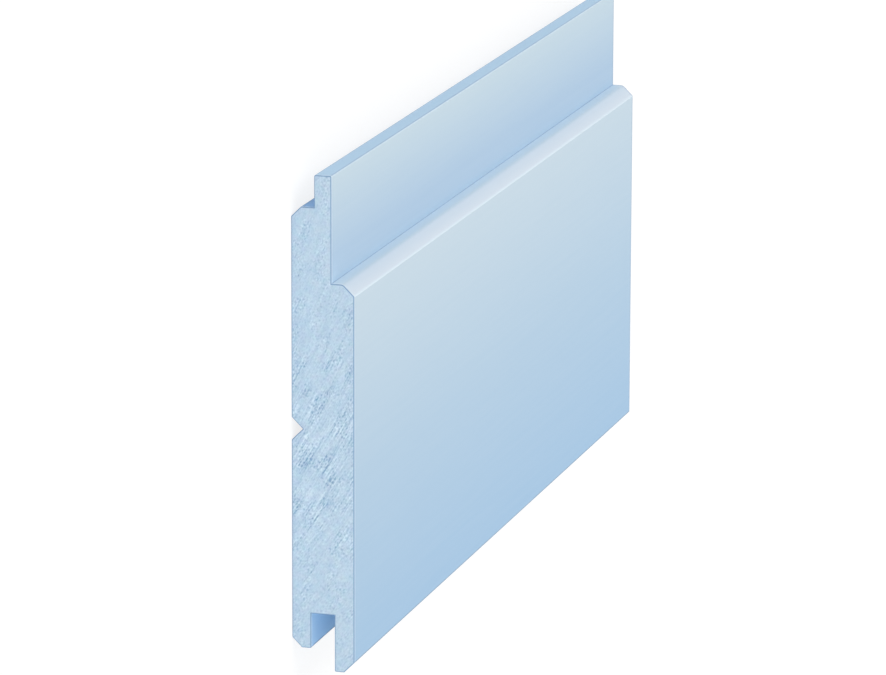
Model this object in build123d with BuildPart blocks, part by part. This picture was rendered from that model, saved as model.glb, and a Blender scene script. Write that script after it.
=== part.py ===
"""Shiplap board: a short length of one-piece primed pine cladding, lying on its back.

Millimetres. +X runs along the board, +Y across it towards the tongue, and +Z up out of its
weather face. The origin is on the back face, under the middle of the board.
"""

import os

from build123d import *

# Driving dimensions of the board
length = 300.0
thickness = 18.0
cover_width = 125.0  # pitch from one board to the next on the wall
lap = 15.0  # how far the tongue runs up behind the next board's front lip
channel = 15.0  # open channel left in the weather face between two boards

# Tongue and groove, sized so that one board fits the next
tongue_thickness = 4.9
back_lip_thickness = 5.5
back_lip_setback = 6.2  # back lip stops this far short of the front lip's edge
front_clearance = 0.8  # beside the tongue, towards the weather face
back_clearance = 1.1  # beside the tongue, towards the wall
end_clearance = 1.2  # between the tongue's tip and the groove's floor
back_joint_gap = 0.2  # between the back lip and the back shoulder that it closes on

# Edges
shoulder_chamfer = 3.2
shoulder_round = 1.8  # softens the top of the shoulder's chamfer
lip_chamfer = 3.0
back_chamfer = 2.8
relief_depth = 3.2  # right-angled relief groove along the back face
arris_radius = 0.4

# Positions across the board, from the front lip's edge
tongue_tip = cover_width + lap
front_shoulder = cover_width - channel
back_shoulder = cover_width + back_lip_setback - back_joint_gap
groove_floor = lap + end_clearance
relief_position = (back_lip_setback + back_shoulder) / 2

# Heights above the back face
tongue_back = back_lip_thickness + back_clearance
tongue_front = tongue_back + tongue_thickness
groove_front = tongue_front + front_clearance

# Section plane square to the board, with its own origin below the front lip's edge
section_plane = Plane(origin=(0, -tongue_tip / 2, 0), x_dir=(0, 1, 0), z_dir=(1, 0, 0))

with BuildPart() as board:
    with BuildSketch(section_plane) as section:
        # Square-cornered section, from the front lip over the shoulder to the tongue and back
        with BuildLine():
            Polyline(
                (0, groove_front),
                (0, thickness),
                (front_shoulder, thickness),
                (front_shoulder, tongue_front),
                (tongue_tip, tongue_front),
                (tongue_tip, tongue_back),
                (back_shoulder, tongue_back),
                (back_shoulder, 0),
                (back_lip_setback, 0),
                (back_lip_setback, back_lip_thickness),
                (groove_floor, back_lip_thickness),
                (groove_floor, groove_front),
                close=True,
            )
        make_face()

        # Chamfers on both back corners and on both sides of the channel
        chamfer(section.vertices().group_by(Axis.Y)[0], length=back_chamfer)
        chamfer(section.vertices().group_by(Axis.Y)[-1].sort_by(Axis.X)[0], length=lip_chamfer)
        chamfer(section.vertices().group_by(Axis.Y)[-1].sort_by(Axis.X)[-1], length=shoulder_chamfer)
        shoulder_corners = section.vertices().filter_by_position(Axis.X, front_shoulder, front_shoulder)
        fillet(shoulder_corners.sort_by(Axis.Y)[-1], radius=shoulder_round)

        # Relief groove: a square on its corner, centred on the back face
        relief_side = relief_depth * 2**0.5
        with Locations((relief_position, 0)):
            Rectangle(relief_side, relief_side, rotation=45, mode=Mode.SUBTRACT)

        # Shrinking the section and growing it again rounds its outer corners and no inner one
        offset(amount=-arris_radius, mode=Mode.REPLACE)
        offset(amount=arris_radius, mode=Mode.REPLACE)
    extrude(amount=length / 2, both=True)

board.part.label = "board"
os.makedirs("parts", exist_ok=True)
export_step(board.part, "parts/board.step")
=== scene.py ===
"""Looks of the shiplap board: primed faces, sawn end grain, white floor, soft light and camera.

Metres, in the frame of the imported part: +X along the board, +Y across it towards the tongue, and
+Z up out of the weather face. The board lies on its back and the camera looks down on it, rolled
so that the tongue is at the top of the picture.
"""

import math
from collections import namedtuple

import bpy
from mathutils import Matrix, Vector, geometry, kdtree, noise


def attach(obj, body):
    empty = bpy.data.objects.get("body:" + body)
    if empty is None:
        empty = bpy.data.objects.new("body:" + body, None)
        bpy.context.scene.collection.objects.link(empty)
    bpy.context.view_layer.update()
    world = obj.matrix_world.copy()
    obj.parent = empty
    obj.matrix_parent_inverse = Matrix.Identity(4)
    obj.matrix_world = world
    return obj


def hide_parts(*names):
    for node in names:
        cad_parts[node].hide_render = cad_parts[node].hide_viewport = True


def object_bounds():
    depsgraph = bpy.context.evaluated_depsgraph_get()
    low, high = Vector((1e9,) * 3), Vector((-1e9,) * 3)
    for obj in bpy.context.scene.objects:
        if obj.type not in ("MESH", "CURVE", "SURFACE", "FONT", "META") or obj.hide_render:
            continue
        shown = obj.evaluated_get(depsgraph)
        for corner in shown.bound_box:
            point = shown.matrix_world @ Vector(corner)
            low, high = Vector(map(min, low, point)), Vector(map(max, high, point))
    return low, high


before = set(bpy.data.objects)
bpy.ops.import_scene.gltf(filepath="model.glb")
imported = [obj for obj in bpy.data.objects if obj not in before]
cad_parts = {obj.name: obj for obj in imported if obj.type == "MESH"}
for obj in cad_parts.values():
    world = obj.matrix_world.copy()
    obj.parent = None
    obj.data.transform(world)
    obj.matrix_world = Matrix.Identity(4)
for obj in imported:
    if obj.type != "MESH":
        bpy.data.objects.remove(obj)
cad_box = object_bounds()

MM = 0.001
NODE = "board"
BODY = "root"
PIECE = "shiplap_board"

# Mesh of the board
ring_step = 0.5 * MM  # widest spacing of points round the section
corner_hold = 0.15 * MM  # points this near to a corner keep its painted line narrow
station_step = 30.0 * MM  # widest spacing of sections along the board
sawn_round = 0.24 * MM  # radius of the arris round each sawn end
sawn_round_steps = 3
edge_tint_reach = 0.5 * MM  # the painted tint beside a sawn arris, a highlight at the near end and shade at the far end, holds this far, then fades over as much
smooth_angle = math.radians(50.0)  # edges that bend by less are shaded smooth

# How the points of the section are told apart
flat_turn = math.radians(1.0)  # a corner that turns by less lies on a flat
nook_turn = math.radians(30.0)  # an inner corner turns by more
facing_slack = 0.01  # a flat faces a side if the cosine between them is short of 1 by less
level = 0.1 * MM  # points this near to a face's plane lie on it
arris_depth = 0.3 * MM  # points of the arris round the weather face lie within this of it
place_digits = 7  # corners of two faces are one if they agree to this many decimals
sides = {
    "front": Vector((0, 1)),
    "back": Vector((0, -1)),
    "tongue": Vector((1, 0)),
    "lip": Vector((-1, 0)),
}

# Primer, in 8-bit display colours, with painted shade, painted highlights and painted light in it.
# Stops run from the lip to the shoulder on the weather face, from base to tip on the tongue, and up
# from the tongue over the shoulder and its chamfer.
# Painted shade: the weather face is painted darker towards the lip and lighter towards the shoulder.
weather_face_painted_shade = ((0.0, (164, 197, 226)), (0.5, (180, 206, 227)), (1.0, (200, 218, 230)))
# Painted shade: the tongue's front is darker near its base and lighter towards its tip; right at the base it
# is painted lighter again, against the shade that the shoulder casts there.
tongue_front_painted_shade = (
    (0.0, (185, 211, 233)),
    (0.1, (178, 204, 228)),
    (0.25, (176, 202, 226)),
    (1.0, (199, 218, 229)),
)
# Painted light and shade up the shoulder: a darker band over its round, the chamfer lighter towards its top,
# and a painted highlight on the arris above the weather face.
shoulder = (
    (0.0, (205, 225, 241)),
    (0.4, (205, 223, 236)),
    (0.48, (198, 216, 229)),
    (0.57, (204, 219, 233)),
    (0.95, (214, 225, 236)),
    (0.985, (222, 236, 246)),
    (1.0, (222, 236, 246)),
)
tongue_tip = (175, 206, 231)
tongue_tip_shade_line = (160, 187, 213)  # a painted shade line, on the side of the tip's arris that faces out past the tip
# Painted highlight along the arris between the tongue's tip and its front.
tongue_tip_highlight = (206, 224, 236)
# Painted shade: a deeper blue on the back shoulder, which lies in shade under the tongue.
back_shoulder_painted_shade = (150, 192, 235)
# Painted light: the faces inside the groove are paler and bluer than the primer elsewhere, to lift the shade
# deep in the groove.
groove_wall_painted_light = (184, 216, 247)
groove_inside_painted_light = (206, 236, 255)
# Painted shade line along the back lip's edge, at the mouth of the groove.
groove_shade_line = (122, 151, 181)
elsewhere = (170, 202, 229)
lip_shade_line = (130, 156, 183)  # a painted shade line between the lip and the weather face
plain_arris = (160, 185, 210)  # at the back and under the lip
# Painted shade in the inner corners, such as at the tongue's base.
nook_shade = (140, 166, 194)
# Painted shade line round each sawn end; at the far end it also fades along the long faces beside the arris.
sawn_line = (122, 151, 183)
# Painted highlight on the long faces beside the near end's arris.
near_end_highlight = (214, 230, 242)
beside_share = 0.4

# Brushing of the primer, drawn out along the board, and a finer stipple
brush_width = 1.4 * MM
brush_stretch = (35.0, 1.0, 1.0)
brush_depth = 0.03 * MM
stipple_size = 0.7 * MM
stipple_share = 0.5  # height of the stipple as a share of the brushing's

# End grain: growth rings about a pith outside the section, placed from the middle of the section
section_middle = Vector([(cad_box[0][axis] + cad_box[1][axis]) / 2 for axis in (1, 2)])
pith_offset = Vector((175.0, -304.0)) * MM
pith = section_middle + pith_offset
ring_spacing = 3.4 * MM
open_grain_shift = -6.0 * MM  # the grain is most open this far from the middle, towards the lip
open_grain_reach = 30.0 * MM  # how far from there it stays open
near_seed = 0.0  # sets the grain of the near end apart from that of the far one
far_seed = 61.0

# Noise of the end grain: its size across and along the growth rings, and its cut through the noise
Layer = namedtuple("Layer", "across along cut")
patches = Layer(3.6 * MM, 7.0 * MM, 3.1)
streaks = Layer(0.3 * MM, 6.0 * MM, 17.9)
dots = Layer(0.36 * MM, 0.65 * MM, 41.9)
slits = Layer(0.32 * MM, 9.0 * MM, 29.3)
ring_wander = Layer(8.0 * MM, 40.0 * MM, 7.7)
mottle = Layer(2.6 * MM, 5.0 * MM, 23.5)
broad_mottle = Layer(9.0 * MM, 16.0 * MM, 31.7)

# Weights of that noise. A pair is for tight grain first, and then for open grain.
patch_limits = (-0.25, 0.45)
pore_weight_by_place = (0.7, 1.05)
pore_weight_by_patch = (0.62, 1.4)
streak_weight = (0.38, 1.1)
dot_weight = 1.3
pale_share = 0.5  # strength of the pale flecks as a share of the dark pores'
slit_limit = 0.2  # slits open where their noise is above this
slit_weight = (0.3, 2.3)
ring_wander_share = 0.6  # how far a growth ring strays, as a share of the spacing
latewood_start = (0.2, 0.85)  # shares of a growth ring over which it darkens
latewood_end = (0.9, 1.0)  # and over which it pales again
latewood_mean = 0.4
latewood_weight = 0.1
mottle_weight = 0.13
broad_mottle_share = 0.45
slow_weight = (0.65, 1.0)  # for the growth rings and the mottle together

# Mesh and tones of the end grain
grain_across = 0.22 * MM  # spacing of the end's points, across and along the growth rings
grain_along = 0.26 * MM
grain_margin = 0.12 * MM  # how far they keep clear of the rim
rim_shade = 0.35  # darkness round the rim of the end, a painted shade line along the sawn arris
relief_depth = 0.06 * MM  # depth of the darkest grain
plain_relief = 0.35  # share of that depth where the darkness is 0
relief_gain = 0.65  # share of that depth added where the darkness is 1
fibre_size = 0.2 * MM
fibre_stretch = (1.0, 2.5, 1.0)  # along the growth rings
fibre_weight = 0.3
fibre_depth = 0.05 * MM
hue_patch_size = 2.0 * MM
soak_patch_size = 3.0 * MM
palest_grain = -0.62  # darkness at the first tone
darkest_grain = 1.15  # and at the last
grain_tones = (
    (0.0, (202, 221, 234)),
    (0.33, (178, 199, 216)),
    (0.67, (156, 181, 202)),
    (1.0, (128, 156, 184)),
)

# Stage
white = (1.0, 1.0, 1.0, 1.0)
floor_reach = 20.0
floor_drop = 0.05 * MM  # keeps the floor out of the plane of the board's back
floor_bounce = (0.9, 0.9, 0.9, 1.0)  # colour of the floor for the light that it throws back
floor_shade = (0.22, 0.22, 0.22, 1.0)  # colour that keeps a light shadow on the floor as seen
floor_glow = 0.82  # light that brings the floor as seen to white
sky_strength = 0.58
backdrop_strength = 1.0
photo_width_px = 886.0
focal_length_px = 6000.0
camera_place = Vector((-1.6711, 0.4031, 0.4900))
camera_forward = Vector((0.9336, -0.2307, -0.2742))
camera_up = Vector((0.2205, 0.9730, -0.0678))


def linear(colour):
    """Scene-linear colour of an 8-bit display colour, by the sRGB curve."""
    channels = []
    for value in colour:
        share = value / 255
        channels.append(share / 12.92 if share <= 0.04045 else ((share + 0.055) / 1.055) ** 2.4)
    return Vector((*channels, 1.0))


def mix(a, b, share):
    """The value a share of the way from a to b."""
    return a + (b - a) * share


def ramp(low, high, value):
    """0 below low, 1 above high and smooth between them."""
    share = min(max((value - low) / (high - low), 0.0), 1.0)
    return share * share * (3 - 2 * share)


def graded(stops, position):
    """Linear colour at a position along stops of (position, display colour)."""
    for (low, colour), (high, next_colour) in zip(stops, stops[1:]):
        if position <= high:
            share = max(position - low, 0.0) / (high - low)
            return linear(colour).lerp(linear(next_colour), share)
    return linear(stops[-1][1])


# Section of the board, read from the frame

def end_outline(node):
    """Points (y, z) round the node's lower end, anticlockwise with +Y to the right and +Z up."""
    mesh = node.data
    ways = set()
    for face in mesh.polygons:
        if face.normal.x < facing_slack - 1:
            corners = [mesh.vertices[i].co.yz.to_tuple(place_digits) for i in face.vertices]
            ways.update(zip(corners, corners[1:] + corners[:1]))
    following = {b: a for a, b in ways if (b, a) not in ways}
    point = min(following)
    outline = [Vector(point)]
    while following[point] != min(following):
        point = following[point]
        outline.append(Vector(point))
    return outline


def spaced(outline):
    """The same outline with points added along its straight runs, and close to their ends."""
    points = []
    for here, after in zip(outline, outline[1:] + outline[:1]):
        run = (after - here).length
        points.append(here)
        if run > ring_step:
            hold = corner_hold / run
            parts = math.ceil(run / ring_step)
            points += [here.lerp(after, mix(hold, 1 - hold, i / parts)) for i in range(parts + 1)]
    return points


class RingPoint:
    """A point of the section with its way out of the solid and its turn, positive on an outer corner."""

    def __init__(self, before, here, after):
        run_in = (here - before).normalized()
        run_out = (after - here).normalized()
        out_a = Vector((run_in.y, -run_in.x))
        out_b = Vector((run_out.y, -run_out.x))
        self.place = here
        self.across, self.height = here
        self.turn = -run_in.angle_signed(run_out, 0.0)
        # Mitred, so that an inset outline keeps its distance from both runs
        self.out = (out_a + out_b) / (1 + out_a.dot(out_b))

    def faces(self, side):
        """Whether the point lies on a flat that faces that side."""
        return abs(self.turn) < flat_turn and self.out.dot(sides[side]) > 1 - facing_slack


def section_ring(node):
    """Points round the node's section, close enough together for the primer's tints."""
    points = spaced(end_outline(node))
    befores = points[-1:] + points[:-1]
    afters = points[1:] + points[:1]
    return [RingPoint(*trio) for trio in zip(befores, points, afters)]


# Primer on the long faces, with painted shade, painted highlights and painted light

def primer_and_painted_light_colours(ring):
    """Linear colour at each point of the section: the primer, with painted shade, painted highlights and
    painted light in it.
    """
    top = max(p.height for p in ring)
    tip = max(p.across for p in ring)
    face = [p.across for p in ring if p.faces("front") and top - p.height < level]
    lip_edge, shoulder_edge = min(face), max(face)
    tongue = [p for p in ring if p.faces("front") and p.across > shoulder_edge]
    tongue_base = min(p.across for p in tongue)
    tongue_height = max(p.height for p in tongue)
    wall_height = min(p.height for p in ring if p.faces("front"))

    def colour(p):
        if p.turn < -nook_turn:
            return linear(nook_shade)
        if p.across > shoulder_edge and p.height > tongue_height + level:
            return graded(shoulder, (p.height - tongue_height) / (top - tongue_height))
        if p.turn > flat_turn and p.across < lip_edge and p.height > tongue_height:
            return linear(lip_shade_line if top - p.height < arris_depth else plain_arris)
        if p.turn > flat_turn and p.out.x > p.out.y > 0:
            return linear(tongue_tip_shade_line)
        if p.turn > flat_turn and p.out.y > 0 and p.across > shoulder_edge:
            return linear(tongue_tip_highlight)
        if p.turn > flat_turn and p.out.y > 0:
            return linear(groove_shade_line)
        if p.turn > flat_turn:
            return linear(plain_arris)
        if p.faces("front") and top - p.height < level:
            return graded(weather_face_painted_shade, (p.across - lip_edge) / (shoulder_edge - lip_edge))
        if p.faces("front") and p.across > shoulder_edge:
            return graded(tongue_front_painted_shade, (p.across - tongue_base) / (tip - tongue_base))
        if p.faces("front"):
            return linear(groove_wall_painted_light)
        if p.faces("tongue") and tip - p.across < level:
            return linear(tongue_tip)
        if p.faces("tongue"):
            return linear(back_shoulder_painted_shade)
        if p.faces("back") and p.height > wall_height and p.across < shoulder_edge:
            return linear(groove_inside_painted_light)
        if p.faces("lip") and p.height > wall_height and p.across > lip_edge:
            return linear(groove_inside_painted_light)
        return linear(elsewhere)

    return [colour(p) for p in ring]


# Sawn end grain

def grain_value(place, seed):
    """Darkness of the end grain at (y, z): positive in pores, streaks and slits, negative in pale flecks."""
    arm = place - pith
    radius = arm.length
    along = math.atan2(arm.x, arm.y) * pith_offset.length

    def cloud(layer, shift=0.0):
        return noise.noise(Vector((radius / layer.across, along / layer.along, layer.cut + shift)))

    aside = place.x - section_middle.x - open_grain_shift
    middle = math.exp(-((aside / open_grain_reach) ** 2))
    patch = ramp(*patch_limits, cloud(patches))

    pore_weight = mix(*pore_weight_by_place, middle) * mix(*pore_weight_by_patch, patch)
    pores = mix(*streak_weight, middle) * cloud(streaks, seed) + dot_weight * cloud(dots, seed)
    pores = pore_weight * pores
    pores = max(pores, pale_share * pores)
    opened = max(cloud(slits, seed) - slit_limit, 0.0)
    pores = pores + mix(*slit_weight, middle * patch) * opened

    ring = (radius / ring_spacing + ring_wander_share * cloud(ring_wander)) % 1.0
    latewood = ramp(*latewood_start, ring) * (1 - ramp(*latewood_end, ring))
    blotches = cloud(mottle) + broad_mottle_share * cloud(broad_mottle)
    slow = mottle_weight * blotches + latewood_weight * (latewood - latewood_mean)
    return pores + mix(*slow_weight, middle) * slow


def cap_points(ring):
    """Points (y, z) over the sawn end, in rows along the growth rings, clear of its outline."""
    tree = kdtree.KDTree(len(ring))
    for i, p in enumerate(ring):
        tree.insert(p.place.to_3d(), i)
    tree.balance()
    low = Vector((min(p.across for p in ring), min(p.height for p in ring)))
    high = Vector((max(p.across for p in ring), max(p.height for p in ring)))
    across = pith_offset.normalized()
    along = Vector((-across.y, across.x))
    reach = (high - low).length / 2
    rows = math.ceil(reach / grain_across)
    steps = math.ceil(reach / grain_along)
    points = []
    for row in range(-rows, rows + 1):
        shift = 0.5 * (row % 2)  # every other row lies half a step along
        for step in range(-steps, steps + 1):
            place = section_middle + across * (row * grain_across) + along * ((step + shift) * grain_along)
            if not (low.x < place.x < high.x and low.y < place.y < high.y):
                continue
            nearest = ring[tree.find(place.to_3d())[1]]
            if (place - nearest.place).dot(nearest.out) < -(sawn_round + grain_margin):
                points.append(place)
    return points


def fill(rim, inner):
    """Triangles over a closed outline and the points inside it, numbered rim first."""
    output_type = 1
    merge_distance = 1e-6
    with_sources = True
    points = [p / MM for p in rim + inner]
    count = len(rim)
    edges = [(i, (i + 1) % count) for i in range(count)]
    filled = geometry.delaunay_2d_cdt(points, edges, [], output_type, merge_distance, with_sources)
    faces, sources = filled[2], filled[3]
    triangles = []
    for face in faces:
        corners = [sources[i][0] for i in face]
        lowest = corners.index(min(corners))
        a, b, c = corners[lowest:] + corners[:lowest]
        # Between outline points alone, a triangle that runs against the outline lies outside it
        if max(corners) >= count or b < c:
            triangles.append((a, b, c))
    return triangles


# Mesh of the whole board

# A section's place along the board, the inset of its outline, its painted tint of highlight or shade and the
# tint's share
Section = namedtuple("Section", "x inset tint share")


def end_sections(x_end, inward, tint):
    """Sections at one sawn end, from its face over its arris, painted as a shade line, to where the painted
    tint beside it has faded.
    """
    sections = []
    for step in range(sawn_round_steps):
        angle = math.radians(90 * step / sawn_round_steps)
        inset = sawn_round * (1 - math.sin(angle))
        back = sawn_round * (1 - math.cos(angle))
        sections.append(Section(x_end + inward * back, inset, sawn_line, 1.0))
    for step, share in enumerate((beside_share, beside_share, 0.0)):
        back = sawn_round + step * edge_tint_reach
        sections.append(Section(x_end + inward * back, 0.0, tint, share))
    return sections


def board_sections():
    """Sections along the whole board, from the near end to the far one."""
    # The near end gets a painted highlight beside its arris, the far end a band of painted shade.
    near = end_sections(cad_box[0][0], 1, near_end_highlight)
    far = end_sections(cad_box[1][0], -1, sawn_line)[::-1]
    first = near[-1].x
    run = far[0].x - first
    parts = math.ceil(run / station_step)
    between = [Section(first + run * i / parts, 0.0, sawn_line, 0.0) for i in range(1, parts)]
    return near + between + far


def faces_between(sections, count):
    """Faces that join each section of count points to the next."""
    faces = []
    for number in range(len(sections) - 1):
        first = number * count
        for i in range(count):
            j = (i + 1) % count
            faces.append((first + i, first + j, first + count + j, first + count + i))
    return faces


def build_board(node):
    """The board as one mesh: long faces in primer with painted shade and highlights, and sawn ends whose
    grain is sunk in them.
    """
    ring = section_ring(node)
    count = len(ring)
    colours = primer_and_painted_light_colours(ring)
    sections = board_sections()
    vertices = []
    primer_and_painted_light = []
    for section in sections:
        tint = linear(section.tint)
        for p, colour in zip(ring, colours):
            place = p.place - p.out * section.inset
            vertices.append((section.x, place.x, place.y))
            primer_and_painted_light.append(colour.lerp(tint, section.share))
    faces = faces_between(sections, count)
    long_faces = len(faces)

    # Sawn ends: the inset outline filled with fine triangles, sunk along X where the grain is dark
    inner = cap_points(ring)
    rim = [p.place - p.out * sawn_round for p in ring]
    triangles = fill(rim, inner)
    # The rim of each end is painted darker, a painted shade line along the sawn arris.
    grain_and_rim_shade = [rim_shade] * len(vertices)
    last = len(sections) - 1
    for number, inward, seed in ((0, 1, near_seed), (last, -1, far_seed)):
        x_end = sections[number].x
        first_rim = number * count
        first_inner = len(vertices)
        for place in inner:
            value = grain_value(place, seed)
            sunk = relief_depth * min(max(plain_relief + relief_gain * value, 0.0), 1.0)
            vertices.append((x_end + inward * sunk, place.x, place.y))
            grain_and_rim_shade.append(value)
        primer_and_painted_light += [linear(elsewhere)] * len(inner)
        for face in triangles:
            corners = [first_rim + i if i < count else first_inner + i - count for i in face]
            faces.append(corners[::-1] if number == 0 else corners)

    mesh = bpy.data.meshes.new(PIECE)
    mesh.from_pydata(vertices, [], faces)
    primer_and_painted_light_channels = [channel for colour in primer_and_painted_light for channel in colour]
    # The primer attribute holds the primer's blue with painted shade, painted highlights and painted light.
    mesh.attributes.new("primer", "FLOAT_COLOR", "POINT").data.foreach_set("color", primer_and_painted_light_channels)
    mesh.attributes.new("grain", "FLOAT", "POINT").data.foreach_set("value", grain_and_rim_shade)
    mesh.materials.append(primer_material())
    mesh.materials.append(end_grain_material())
    materials = [0] * long_faces + [1] * (len(faces) - long_faces)
    mesh.polygons.foreach_set("material_index", materials)
    mesh.polygons.foreach_set("use_smooth", [True] * len(faces))
    mesh.set_sharp_from_angle(angle=smooth_angle)
    mesh.validate()
    mesh.update()
    board = bpy.data.objects.new(PIECE, mesh)
    bpy.context.collection.objects.link(board)
    return board


# Materials

class Nodes:
    """Short ways to add and join the nodes of one material or world."""

    def __init__(self, owner):
        owner.use_nodes = True
        self.tree = owner.node_tree
        self.tree.nodes.clear()

    def add(self, kind, inputs=None, **settings):
        """A new node with its settings, and with its inputs set or joined to other nodes' outputs."""
        node = self.tree.nodes.new(kind)
        for name, value in settings.items():
            setattr(node, name, value)
        for name, value in (inputs or {}).items():
            if isinstance(value, bpy.types.NodeSocket):
                self.tree.links.new(value, node.inputs[name])
            else:
                node.inputs[name].default_value = value
        return node

    def math(self, operation, a, b):
        return self.add("ShaderNodeMath", {0: a, 1: b}, operation=operation).outputs[0]

    def scaled(self, value, low, high):
        """A value from 0 to 1 brought to the range from low to high."""
        return self.math("ADD", self.math("MULTIPLY", value, high - low), low)

    def noise(self, size, stretch=(1.0, 1.0, 1.0), turn=0.0):
        """Noise with features of that size, drawn out by a stretch on each axis, turned about X."""
        place = self.add("ShaderNodeTexCoord").outputs["Object"]
        inputs = {"Vector": place, "Rotation": (turn, 0.0, 0.0), "Scale": stretch}
        stretched = self.add("ShaderNodeMapping", inputs, vector_type="TEXTURE").outputs[0]
        inputs = {"Vector": stretched, "Scale": 1 / size, "Detail": 2.0}
        return self.add("ShaderNodeTexNoise", inputs).outputs["Fac"]

    def ramp(self, factor, stops):
        """Colour at a factor along stops of (position, display colour)."""
        node = self.add("ShaderNodeValToRGB", {"Fac": factor})
        elements = node.color_ramp.elements
        while len(elements) < len(stops):
            elements.new(1.0)
        for element, (position, colour) in zip(elements, stops):
            element.position = position
            element.color = linear(colour)
        return node.outputs["Color"]


def primer_material():
    """Satin blue primer with faint brushing along the board; its colour, read from the mesh, holds painted
    shade, highlights and light.
    """
    material = bpy.data.materials.new("blue_primer")
    nodes = Nodes(material)
    # Colour from the mesh: the primer's blue with painted shade, painted highlights and painted light.
    primer = nodes.add("ShaderNodeAttribute", attribute_name="primer").outputs["Color"]
    brushing = nodes.noise(brush_width, brush_stretch)
    stipple = nodes.noise(stipple_size)
    colour = nodes.add("ShaderNodeHueSaturation", {
        "Color": primer,
        "Saturation": nodes.scaled(brushing, 0.96, 1.04),
        "Value": nodes.scaled(brushing, 1.008, 0.992),
    })
    height = nodes.math("ADD", brushing, nodes.math("MULTIPLY", stipple, stipple_share))
    bump = nodes.add("ShaderNodeBump", {"Height": height, "Strength": 0.1, "Distance": brush_depth})
    shader = nodes.add("ShaderNodeBsdfPrincipled", {
        "Base Color": colour.outputs[0],
        "Roughness": nodes.scaled(stipple, 0.54, 0.66),
        "Specular IOR Level": 0.2,
        "Normal": bump.outputs[0],
    })
    nodes.add("ShaderNodeOutputMaterial", {"Surface": shader.outputs[0]})
    return material


def end_grain_material():
    """Sawn end grain that has soaked up primer: pale wood, and blue where the grain is dark."""
    material = bpy.data.materials.new("primed_end_grain")
    nodes = Nodes(material)
    # The grain attribute holds the grain's darkness and a painted shade line round the rim.
    grain = nodes.add("ShaderNodeAttribute", attribute_name="grain").outputs["Fac"]
    fibres = nodes.noise(fibre_size, fibre_stretch, math.atan2(pith_offset.x, -pith_offset.y))
    varied = nodes.math("ADD", grain, nodes.scaled(fibres, -fibre_weight, fibre_weight))
    limits = {"Value": varied, "From Min": palest_grain, "From Max": darkest_grain}
    darkness = nodes.add("ShaderNodeMapRange", limits)
    soaked = nodes.add("ShaderNodeHueSaturation", {
        "Color": nodes.ramp(darkness.outputs[0], grain_tones),
        "Hue": nodes.scaled(nodes.noise(hue_patch_size), 0.472, 0.528),
        "Saturation": nodes.scaled(nodes.noise(soak_patch_size), 0.78, 1.22),
    })
    bump = nodes.add("ShaderNodeBump", {"Height": fibres, "Strength": 0.2, "Distance": fibre_depth})
    shader = nodes.add("ShaderNodeBsdfPrincipled", {
        "Base Color": soaked.outputs[0],
        "Roughness": 0.85,
        "Specular IOR Level": 0.15,
        "Normal": bump.outputs[0],
    })
    nodes.add("ShaderNodeOutputMaterial", {"Surface": shader.outputs[0]})
    return material


# Stage: white floor, soft light and the camera

def shown_directly(nodes):
    """1 for rays that show the stage itself: seen, mirrored or through glass."""
    path = nodes.add("ShaderNodeLightPath").outputs
    mirrored = nodes.math("MAXIMUM", path["Is Glossy Ray"], path["Is Transmission Ray"])
    return nodes.math("MAXIMUM", path["Is Camera Ray"], mirrored)


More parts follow.
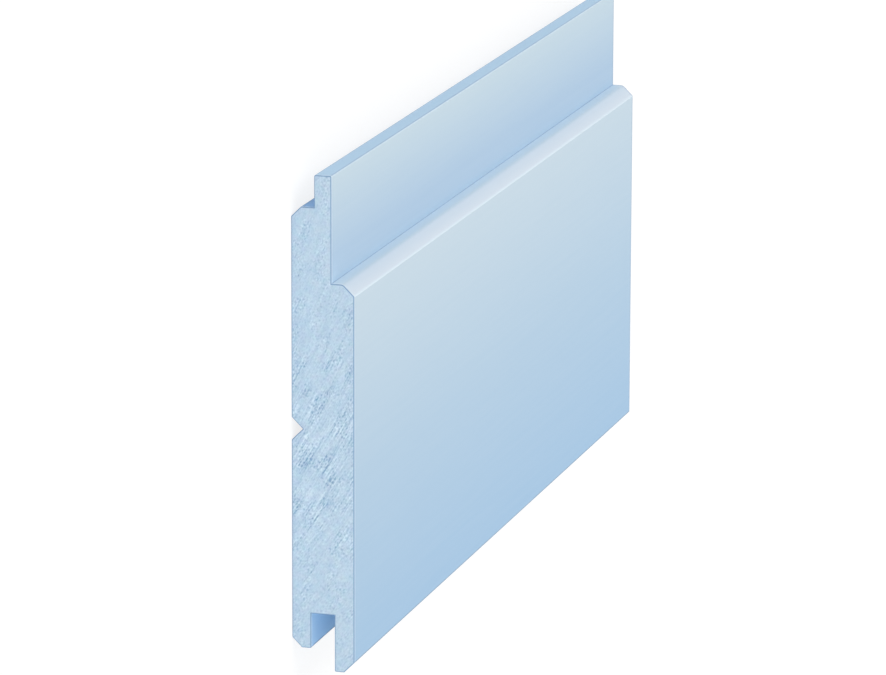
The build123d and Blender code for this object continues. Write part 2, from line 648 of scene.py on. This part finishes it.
def build_floor():
    """White floor that keeps a light shadow."""
    height = cad_box[0][2] - floor_drop
    mesh = bpy.data.meshes.new("floor")
    ways = ((-1, -1), (1, -1), (1, 1), (-1, 1))
    corners = [(x * floor_reach, y * floor_reach, height) for x, y in ways]
    mesh.from_pydata(corners, [], [(0, 1, 2, 3)])
    material = bpy.data.materials.new("white_floor")
    nodes = Nodes(material)
    bounce = nodes.add("ShaderNodeBsdfDiffuse", {"Color": floor_bounce})
    shade = nodes.add("ShaderNodeBsdfDiffuse", {"Color": floor_shade})
    glow = nodes.add("ShaderNodeEmission", {"Color": white, "Strength": floor_glow})
    seen = nodes.add("ShaderNodeAddShader", {0: shade.outputs[0], 1: glow.outputs[0]})
    shaders = {0: shown_directly(nodes), 1: bounce.outputs[0], 2: seen.outputs[0]}
    both = nodes.add("ShaderNodeMixShader", shaders)
    nodes.add("ShaderNodeOutputMaterial", {"Surface": both.outputs[0]})
    mesh.materials.append(material)
    floor = bpy.data.objects.new("floor", mesh)
    bpy.context.collection.objects.link(floor)


def add_lamp(name, towards_lamp, strength, spread_degrees):
    """Even lamp far away, whose strength is the brightness that it gives a white surface facing it."""
    data = bpy.data.lights.new(name, "SUN")
    data.energy = math.pi * strength
    data.angle = math.radians(spread_degrees)
    lamp = bpy.data.objects.new(name, data)
    lamp.rotation_euler = Vector(towards_lamp).to_track_quat("Z", "Y").to_euler()
    bpy.context.collection.objects.link(lamp)


def build_light():
    """Even sky with a white backdrop, a soft lamp above the tongue and one low before the near end."""
    world = bpy.data.worlds.new("studio")
    nodes = Nodes(world)
    sky = nodes.add("ShaderNodeBackground", {"Color": white, "Strength": sky_strength})
    backdrop = nodes.add("ShaderNodeBackground", {"Color": white, "Strength": backdrop_strength})
    shaders = {0: shown_directly(nodes), 1: sky.outputs[0], 2: backdrop.outputs[0]}
    both = nodes.add("ShaderNodeMixShader", shaders)
    nodes.add("ShaderNodeOutputWorld", {"Surface": both.outputs[0]})
    bpy.context.scene.world = world
    add_lamp("key", towards_lamp=(-0.1, 0.62, 0.78), strength=0.36, spread_degrees=50)
    add_lamp("fill", towards_lamp=(-0.9, -0.3, 0.32), strength=0.42, spread_degrees=35)


def build_camera():
    """Camera fitted to the photograph's view of the section and of the far end."""
    forward = camera_forward.normalized()
    right = forward.cross(camera_up).normalized()
    up = right.cross(forward)
    data = bpy.data.cameras.new("camera")
    data.sensor_fit = "HORIZONTAL"
    data.lens = data.sensor_width * focal_length_px / photo_width_px
    camera = bpy.data.objects.new("camera", data)
    turn = Matrix((right, up, -forward)).transposed().to_4x4()
    camera.matrix_world = Matrix.Translation(camera_place) @ turn
    bpy.context.collection.objects.link(camera)
    bpy.context.scene.camera = camera


board = build_board(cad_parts[NODE])
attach(board, BODY)
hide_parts(NODE)
build_floor()
build_light()
build_camera()
bpy.context.scene.view_settings.view_transform = "Standard"

bpy.context.view_layer.update()
